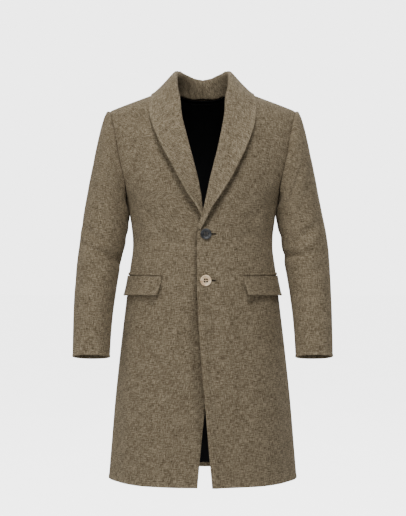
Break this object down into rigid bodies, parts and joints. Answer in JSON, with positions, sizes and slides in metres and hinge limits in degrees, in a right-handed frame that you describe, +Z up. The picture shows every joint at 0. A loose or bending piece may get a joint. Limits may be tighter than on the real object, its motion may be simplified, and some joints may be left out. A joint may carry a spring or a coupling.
{
  "type": "shawl collar overcoat",
  "caption": "Knee-length wool tweed overcoat as it hangs when worn: shawl collar, buttoned left-over-right front, flap pockets, lapped back vent, set-in sleeves.",
  "frame": {"origin": "midway between the two neck points, at the height where the shoulders carry the coat, 0.990 m above its hem", "axes": "+Z up along the wearer's back, -Y out of the coat's front, +X to the wearer's left"},
  "size_m": [0.6452, 0.316, 1.0434],
  "materials": {
    "tweed": "olive-brown wool tweed, matt, slubbed",
    "collar_tweed": "the same tweed, a shade lighter",
    "lining": "black satin lining",
    "dark_horn": "dark slate button, soft sheen",
    "cream_horn": "cream horn button, soft sheen"
  },
  "bodies": {
    "root": {"front_left": "tweed", "front_right": "tweed", "back_left": "tweed", "back_right": "tweed", "lining_back": "lining", "collar_left": "collar_tweed", "collar_right": "collar_tweed", "sleeve_left_top": "tweed", "sleeve_left_under": "tweed", "sleeve_right_top": "tweed", "sleeve_right_under": "tweed", "jet_left": "tweed", "jet_right": "tweed", "flap_left": "tweed", "flap_right": "tweed", "button_top": "dark_horn", "button_lower": "cream_horn"}
  },
  "joints": []
}
